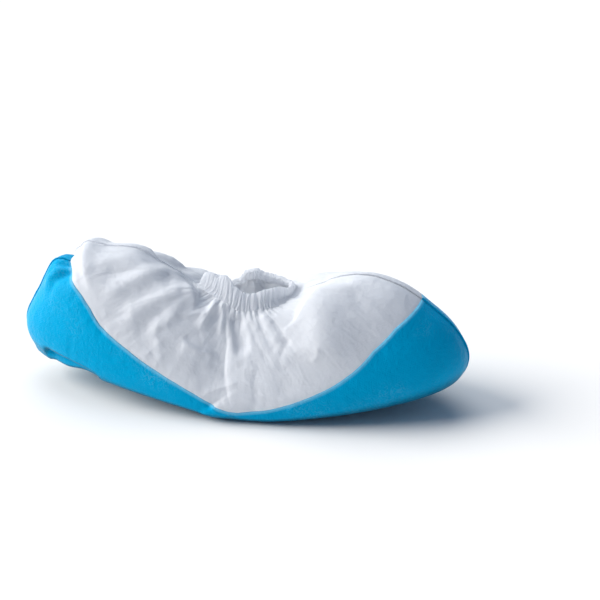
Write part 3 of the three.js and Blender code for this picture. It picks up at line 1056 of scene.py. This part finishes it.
def film_colour(n, run, place, clouds):
    """Cloudy blue, with painted shade where it faces down, pale along the weld, and painted highlights on
    chance ridges.
    """
    finish = bpy.context.scene.film_finish
    colour = n.tint(clouds, finish.colour, FILM_TINT)
    # Painted shade: the colour darkens where the film faces down, in place of the shade under the sole
    facing = n.add("ShaderNodeSeparateXYZ", {0: n.add("ShaderNodeNewGeometry").outputs["Normal"]}).outputs[2]
    under = n.spread(facing, UNDERSIDE_PAINTED_SHADE["starts"], UNDERSIDE_PAINTED_SHADE["ends"], 0.0, UNDERSIDE_PAINTED_SHADE["share"])
    colour = n.mix(under, colour, scaled(finish.colour, UNDERSIDE_PAINTED_SHADE["shade"]))
    down = n.add("ShaderNodeSeparateXYZ", {0: run}).outputs[1]
    weld = n.spread(down, WELD_BAND["near"], WELD_BAND["far"], WELD_BAND["share"], 0.0)
    colour = n.mix(weld, colour, finish.weld_and_glint_colour)
    # Painted highlights: pale glints mixed into the colour on chance ridges, in some patches, in place of
    # light caught by the crinkles
    ridges = n.spread(n.creases(place, PAINTED_GLINTS["scale"]), *PAINTED_GLINTS["ridges"], 0.0, 1.0)
    patches = n.spread(n.noise(place, PAINTED_GLINTS["patch_scale"]), *PAINTED_GLINTS["patches"], 0.0, PAINTED_GLINTS["share"])
    return n.mix(n.math("MULTIPLY", ridges, patches), colour, finish.weld_and_glint_colour)


@functools.cache
def blue_film():
    """Blue embossed film: satin, crinkled, with small raised points that catch the light."""
    finish = bpy.context.scene.film_finish
    n = Nodes("blue_film")
    run = n.add("ShaderNodeUVMap", uv_map="cloth_run").outputs[0]
    place = n.add("ShaderNodeTexCoord").outputs["Object"]
    grain, crinkles, creases, swells = (FILM_MARKS[k] for k in ("grain", "crinkles", "creases", "swells"))
    clouds = n.noise(place, swells.scale, detail=4.0, rough=0.6)
    normal = n.bump(n.dots(run, finish.emboss_pitch), EMBOSS_DEPTH)
    normal = n.bump(n.noise(place, grain.scale, detail=2.0, rough=0.6), grain.depth, normal)
    crinkled = n.math("SMOOTH_MIN", n.noise(place, CRINKLED["scale"]), CRINKLED["most"], CRINKLED["soft"])
    crinkle = n.math("MULTIPLY", n.creases(place, crinkles.scale), crinkled)
    normal = n.bump(crinkle, crinkles.depth, normal)
    normal = n.bump(n.creases(place, creases.scale), creases.depth, normal)
    normal = n.bump(clouds, swells.depth, normal)
    surface = n.add(
        "ShaderNodeBsdfPrincipled",
        {
            "Base Color": film_colour(n, run, place, clouds),
            "Roughness": finish.roughness,
            "Specular IOR Level": 0.18,
            "Specular Tint": (*scaled(finish.colour, 1.2), 1),
            "Normal": normal,
        },
    )
    return n.finish(surface.outputs[0])


# -------------------------------------------------------------------------------------------------
# Pieces
# -------------------------------------------------------------------------------------------------


class COVER_OT_add_stage(Operator):
    """Add the camera, the floor and the soft studio light"""

    bl_idname = "cover.add_stage"
    bl_label = "Add stage"

    def execute(self, context):
        studio = context.scene.studio
        self.add_camera(studio)
        self.add_floor(studio)
        self.add_lights(studio)
        return {"FINISHED"}

    def add_camera(self, studio):
        a, e = studio.azimuth, studio.elevation
        back = Vector((math.sin(a) * math.cos(e), -math.cos(a) * math.cos(e), math.sin(e)))
        right = Vector((math.cos(a), math.sin(a), 0))
        up = back.cross(right)
        low, high = CAD_BOX
        aim = Vector(((low.x + high.x) / 2 - MIDDLE * MM, (low.y + high.y) / 2, studio.aim_height))
        camera = bpy.data.objects.new("camera", bpy.data.cameras.new("camera"))
        camera.data.lens = studio.lens
        camera.location = aim + back * studio.distance + right * studio.aim_side + up * studio.aim_up
        camera.rotation_mode = "QUATERNION"
        camera.rotation_quaternion = (-back).to_track_quat("-Z", "Y")
        camera.data.clip_start, camera.data.clip_end = 0.01, 50
        bpy.context.scene.collection.objects.link(camera)
        bpy.context.scene.camera = camera

    def add_floor(self, studio):
        mesh = bpy.data.meshes.new("floor")
        reach = 6.0
        corners = [(-reach, -reach, 0), (reach, -reach, 0), (reach, reach, 0), (-reach, reach, 0)]
        mesh.from_pydata(corners, [], [(0, 1, 2, 3)])
        floor = bpy.data.objects.new("floor", mesh)
        n = Nodes("pale_floor")
        inputs = {"Base Color": (*studio.floor_colour, 1), "Roughness": 0.9, "Specular IOR Level": 0.1}
        surface = n.add("ShaderNodeBsdfPrincipled", inputs)
        mesh.materials.append(n.finish(surface.outputs[0]))
        bpy.context.scene.collection.objects.link(floor)

    def add_lights(self, studio):
        scene = bpy.context.scene
        scene.view_settings.view_transform = "Standard"
        world = bpy.data.worlds.new("surround")
        world.use_nodes = True
        background = world.node_tree.nodes["Background"]
        background.inputs["Color"].default_value = (*studio.sky_colour, 1)
        background.inputs["Strength"].default_value = studio.sky
        scene.world = world
        self.add_sun("key", studio.key_power, studio.key_softness, studio.key_colour, studio.key_from)
        self.add_sun("top", studio.top_power, studio.top_softness, studio.top_colour, studio.top_from)

    def add_sun(self, name, power, softness, colour, direction):
        light = bpy.data.lights.new(name, "SUN")
        light.energy, light.angle, light.color = power, softness, colour
        lamp = bpy.data.objects.new(name, light)
        lamp.rotation_mode = "QUATERNION"
        lamp.rotation_quaternion = Vector(direction).to_track_quat("Z", "Y")
        bpy.context.scene.collection.objects.link(lamp)


class COVER_OT_add_upper(Operator):
    """Add the white bag, which lines the whole cover and shows above the film"""

    bl_idname = "cover.add_upper"
    bl_label = "Add upper cloth"

    def execute(self, context):
        shape = context.scene.cover_shape
        _, ring, points = settled_surface()
        out = surface_normals(points)
        behind = np.zeros(ring.shape)
        behind[shape.cloth_rows:] = (shape.film_wall + shape.gap) / MM
        outer = points - out * behind[..., None]
        inner = outer - out * shape.cloth_wall / MM
        runs = run_lengths(points)
        points, faces = bag_mesh(outer, inner)
        piece = new_piece("upper_cloth_sheet", points, faces, np.concatenate([runs, runs]), [bag_cloth()])
        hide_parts("upper_cloth")
        return {"FINISHED"}


class COVER_OT_add_film(Operator):
    """Add the blue film over the lower part of the bag"""

    bl_idname = "cover.add_film"
    bl_label = "Add sole film"

    def execute(self, context):
        shape = context.scene.cover_shape
        _, _, points = settled_surface()
        below_edge = slice(shape.cloth_rows, None)
        outer, out = points[below_edge], surface_normals(points)[below_edge]
        inner = outer - out * shape.film_wall / MM
        runs = run_lengths(outer)
        points, faces = bag_mesh(outer, inner)
        piece = new_piece("sole_film_sheet", points, faces, np.concatenate([runs, runs]), [blue_film()])
        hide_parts("sole_film")
        return {"FINISHED"}


class COVER_OT_add_hem(Operator):
    """Add the gathered casing around the mouth"""

    bl_idname = "cover.add_hem"
    bl_label = "Add elastic hem"

    def execute(self, context):
        points = self.casing(context.scene.cover_shape, context.scene.hem_shape)
        rows, columns = points.shape[:2]
        number = np.arange(rows * columns).reshape(rows, columns)
        faces = []
        for i in range(rows):
            faces += band_faces(number[i], number[(i + 1) % rows], turned=True)
        runs = run_lengths(points)
        piece = new_piece("elastic_hem_casing", points.reshape(-1, 3), faces, runs, [hem_cloth()])
        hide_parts("elastic_hem")
        return {"FINISHED"}

    def casing(self, shape, hem):
        """Points of the casing: rows around its section, columns around the mouth."""
        chance = np.random.default_rng(SEED + 3)
        angles, phases = ruffle_phase()
        phase = np.linspace(0, shape.ruffles, shape.ruffles * hem.columns_per_ruffle, endpoint=False)
        angle = np.interp(phase, phases, angles)
        turn = np.linspace(0, 2 * np.pi, hem.section_rows, endpoint=False)[:, None]
        side = np.sin(turn)  # 1 outside the mouth, -1 inside
        flat = np.sign(np.cos(turn)) * np.abs(np.cos(turn)) ** HEM["along"]  # 1 at the rim, -1 at the foot
        down = (1 - flat) / 2  # 0 at the rim, 1 at the foot
        half = (shape.hem_foot + HEM["lap"]) / 2
        reach = np.abs(side) ** HEM["across"]
        outside = np.where(side > 0, reach * (hem.bulge / MM), -reach * (hem.inside / MM))
        outside = outside * (HEM["middle"] + HEM["taper"] * flat)
        ruffles = self.ruffles(shape, hem, phase, turn, down, chance)
        out = outside + ruffles * (HEM["ruffle_ends"] + HEM["ruffle_sides"] * np.abs(side))
        around = np.broadcast_to(angle, out.shape)
        ring = np.broadcast_to(np.maximum(half - half * flat, HEM["least_ring"]), out.shape)
        points = plain_point(ring, around) + outward(ring, around) * out[..., None]
        rim = self.each_ruffle(phase, chance.uniform(-1, 1, shape.ruffles)) * hem.rim_wave / MM
        puffs = zip(*HEM_PUFFS.values())
        puffed = sum(lift * np.exp(-(((angle - at) / width) ** 2)) for at, lift, width in puffs)
        lifted = np.clip(flat, 0, 1) * (rim + HEM["ruffle_lift"] * ruffles)
        points[..., 2] += lifted + (1 - down) * puffed
        return points

    def ruffles(self, shape, hem, phase, turn, down, chance):
        """How far the ruffles and their crimps stand out over the casing, in millimetres."""
        around = 2 * np.pi * phase / shape.ruffles
        shift = sum(far * np.sin(waves * around + way * turn) for waves, far, way in RUFFLE_LEAN)
        height = hem.ruffle_height / MM
        rim = self.each_ruffle(phase + shift, chance.uniform(*RUFFLE["rim"], shape.ruffles)) * (1 - down)
        foot = self.each_ruffle(phase + shift, chance.uniform(*RUFFLE["foot"], shape.ruffles)) * down
        main = (rim + foot) * pleat((phase + shift) % shape.ruffles) * height
        crimp = np.sin(2 * np.pi * (phase * CRIMP["number"] + shift) + CRIMP["turns"] * turn)
        crimped = self.each_ruffle(phase - shift, chance.uniform(0, 1, shape.ruffles))
        return main + CRIMP["share"] * height * crimp * crimped

    def each_ruffle(self, phase, values):
        """A chance value of each ruffle, eased from one to the next."""
        phase = phase % len(values)
        number = np.floor(phase).astype(int) % len(values)
        blend = smoothstep(0, 1, phase - number)
        return values[number] * (1 - blend) + values[(number + 1) % len(values)] * blend


class COVER_OT_add_seams(Operator):
    """Add the welded edges that close the toe and the heel"""

    bl_idname = "cover.add_seams"
    bl_label = "Add end seams"

    def execute(self, context):
        for name, angle in (("toe_seam", 0), ("heel_seam", 180)):
            piece = self.weld(context.scene.seam_shape, name + "_weld", angle)
            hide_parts(name)
        return {"FINISHED"}

    def weld(self, seam, name, angle):
        """One welded edge: white above the film's edge and blue below it."""
        angles, rings, points = settled_surface()
        column = int(np.argmin(np.abs(angles - angle)))
        ring = rings[:, column]
        keep = (ring > seam.top) & (ring < seam.foot)
        line, out, ring = points[keep, column], surface_normals(points)[keep, column], ring[keep]
        points = self.section_points(seam, line, out, ring, np.random.default_rng(SEED + 4 + angle))
        rows, columns = points.shape[:2]
        number = np.arange(rows * columns).reshape(rows, columns)
        faces = []
        for i in range(rows - 1):
            faces += band_faces(number[i], number[i + 1], turned=angle == 180)
        ends = [number[0].tolist(), number[-1][::-1].tolist()]
        faces += [end[::-1] for end in ends] if angle == 180 else ends
        just_above = 0.01  # ring that keeps the white out of the film's first row
        row = np.repeat(np.arange(rows - 1), columns)
        blue = np.concatenate([ring[row] > film_edge(angle) - just_above, [False, True]])
        runs = run_lengths(points)
        return new_piece(name, points.reshape(-1, 3), faces, runs, [bag_cloth(), blue_film()], blue.tolist())

    def section_points(self, seam, line, out, ring, chance):
        """Points of a weld: rows along its line, columns around its section, uneven in height and lean."""
        rises = smoothstep(seam.top, seam.top + WELD["rises"], ring)
        dies = smoothstep(seam.foot - WELD["dies"], seam.foot, ring)
        even = np.hanning(WELD["even_rows"])
        uneven = np.convolve(chance.normal(0, 1, len(ring)), even / even.sum(), "same")
        rise = rises * (1 - dies)
        high = (WELD["least"] + rise * (seam.height / MM + WELD["uneven"] * uneven))[:, None]
        even_lean = np.ones(WELD["lean_rows"]) / WELD["lean_rows"]
        lean = np.array([0, 1, 0]) * (WELD["lean"] * np.convolve(uneven, even_lean, "same"))[:, None]
        across = np.array([0, seam.width / MM / 2, 0])
        section = [
            line + across * aside + high * out * up + lean * leaning - sunk * out
            for aside, up, leaning, sunk in WELD_SECTION
        ]
        return np.stack(section, 1)


OPERATORS = (COVER_OT_add_stage, COVER_OT_add_upper, COVER_OT_add_film, COVER_OT_add_hem, COVER_OT_add_seams)
SETTINGS = {
    "cover_shape": CoverShape,
    "hem_shape": HemShape,
    "seam_shape": SeamShape,
    "cloth_finish": ClothFinish,
    "film_finish": FilmFinish,
    "studio": StudioSettings,
}


class COVER_PT_panel(Panel):
    """The shoe cover's operators"""

    bl_idname = "COVER_PT_panel"
    bl_label = "Shoe cover"
    bl_space_type = "VIEW_3D"
    bl_region_type = "UI"
    bl_category = "Shoe cover"

    def draw(self, context):
        for operator in OPERATORS:
            self.layout.operator(operator.bl_idname)


CLASSES = (*SETTINGS.values(), *OPERATORS, COVER_PT_panel)


def register():
    for cls in CLASSES:
        bpy.utils.register_class(cls)
    for name, group in SETTINGS.items():
        setattr(bpy.types.Scene, name, PointerProperty(type=group))


def unregister():
    for name in SETTINGS:
        delattr(bpy.types.Scene, name)
    for cls in reversed(CLASSES):
        bpy.utils.unregister_class(cls)


def main():
    register()
    for operator in OPERATORS:
        group, name = operator.bl_idname.split(".")
        getattr(getattr(bpy.ops, group), name)()
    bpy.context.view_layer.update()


if __name__ == "__main__":
    main()
